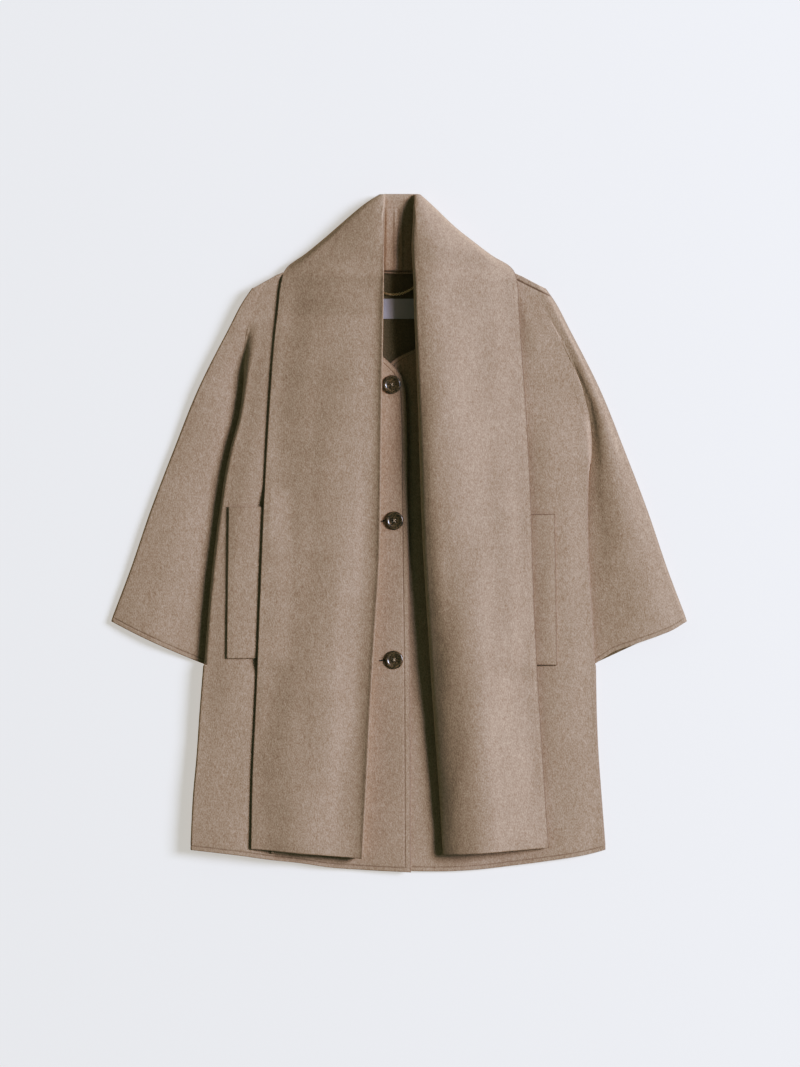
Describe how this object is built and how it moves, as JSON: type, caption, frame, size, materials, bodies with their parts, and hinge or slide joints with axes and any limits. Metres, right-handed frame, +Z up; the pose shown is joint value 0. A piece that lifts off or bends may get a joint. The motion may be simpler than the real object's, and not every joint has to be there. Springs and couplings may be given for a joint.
{
  "type": "wool cape",
  "caption": "Wool cape-coat with wide dolman sleeves and a folded scarf collar, buttoned up and laid flat on its back.",
  "frame": {"origin": "middle of the footprint, on the surface that the coat lies on", "axes": "+Z up from that surface, out of the coat's front; +Y towards the neck; +X towards the wearer's left"},
  "size_m": [0.781, 0.9215, 0.0407],
  "materials": {
    "wool": "double-faced wool with a short brushed nap, grey-brown melange, bagged-out edges with a sewn groove",
    "horn": "polished dark horn with lighter streaks",
    "label": "woven satin, pale lavender grey, bare",
    "chain": "polished brass links"
  },
  "bodies": {
    "root": {"back": "wool", "front_right": "wool", "front_left": "wool", "pocket_welt_right": "wool", "pocket_welt_left": "wool", "scarf_right": "wool", "scarf_left": "wool", "collar_back": "wool", "collar_fold": "wool", "button_1": "horn", "button_2": "horn", "button_3": "horn", "neck_label": "label", "hanger_chain": "chain"}
  },
  "joints": []
}
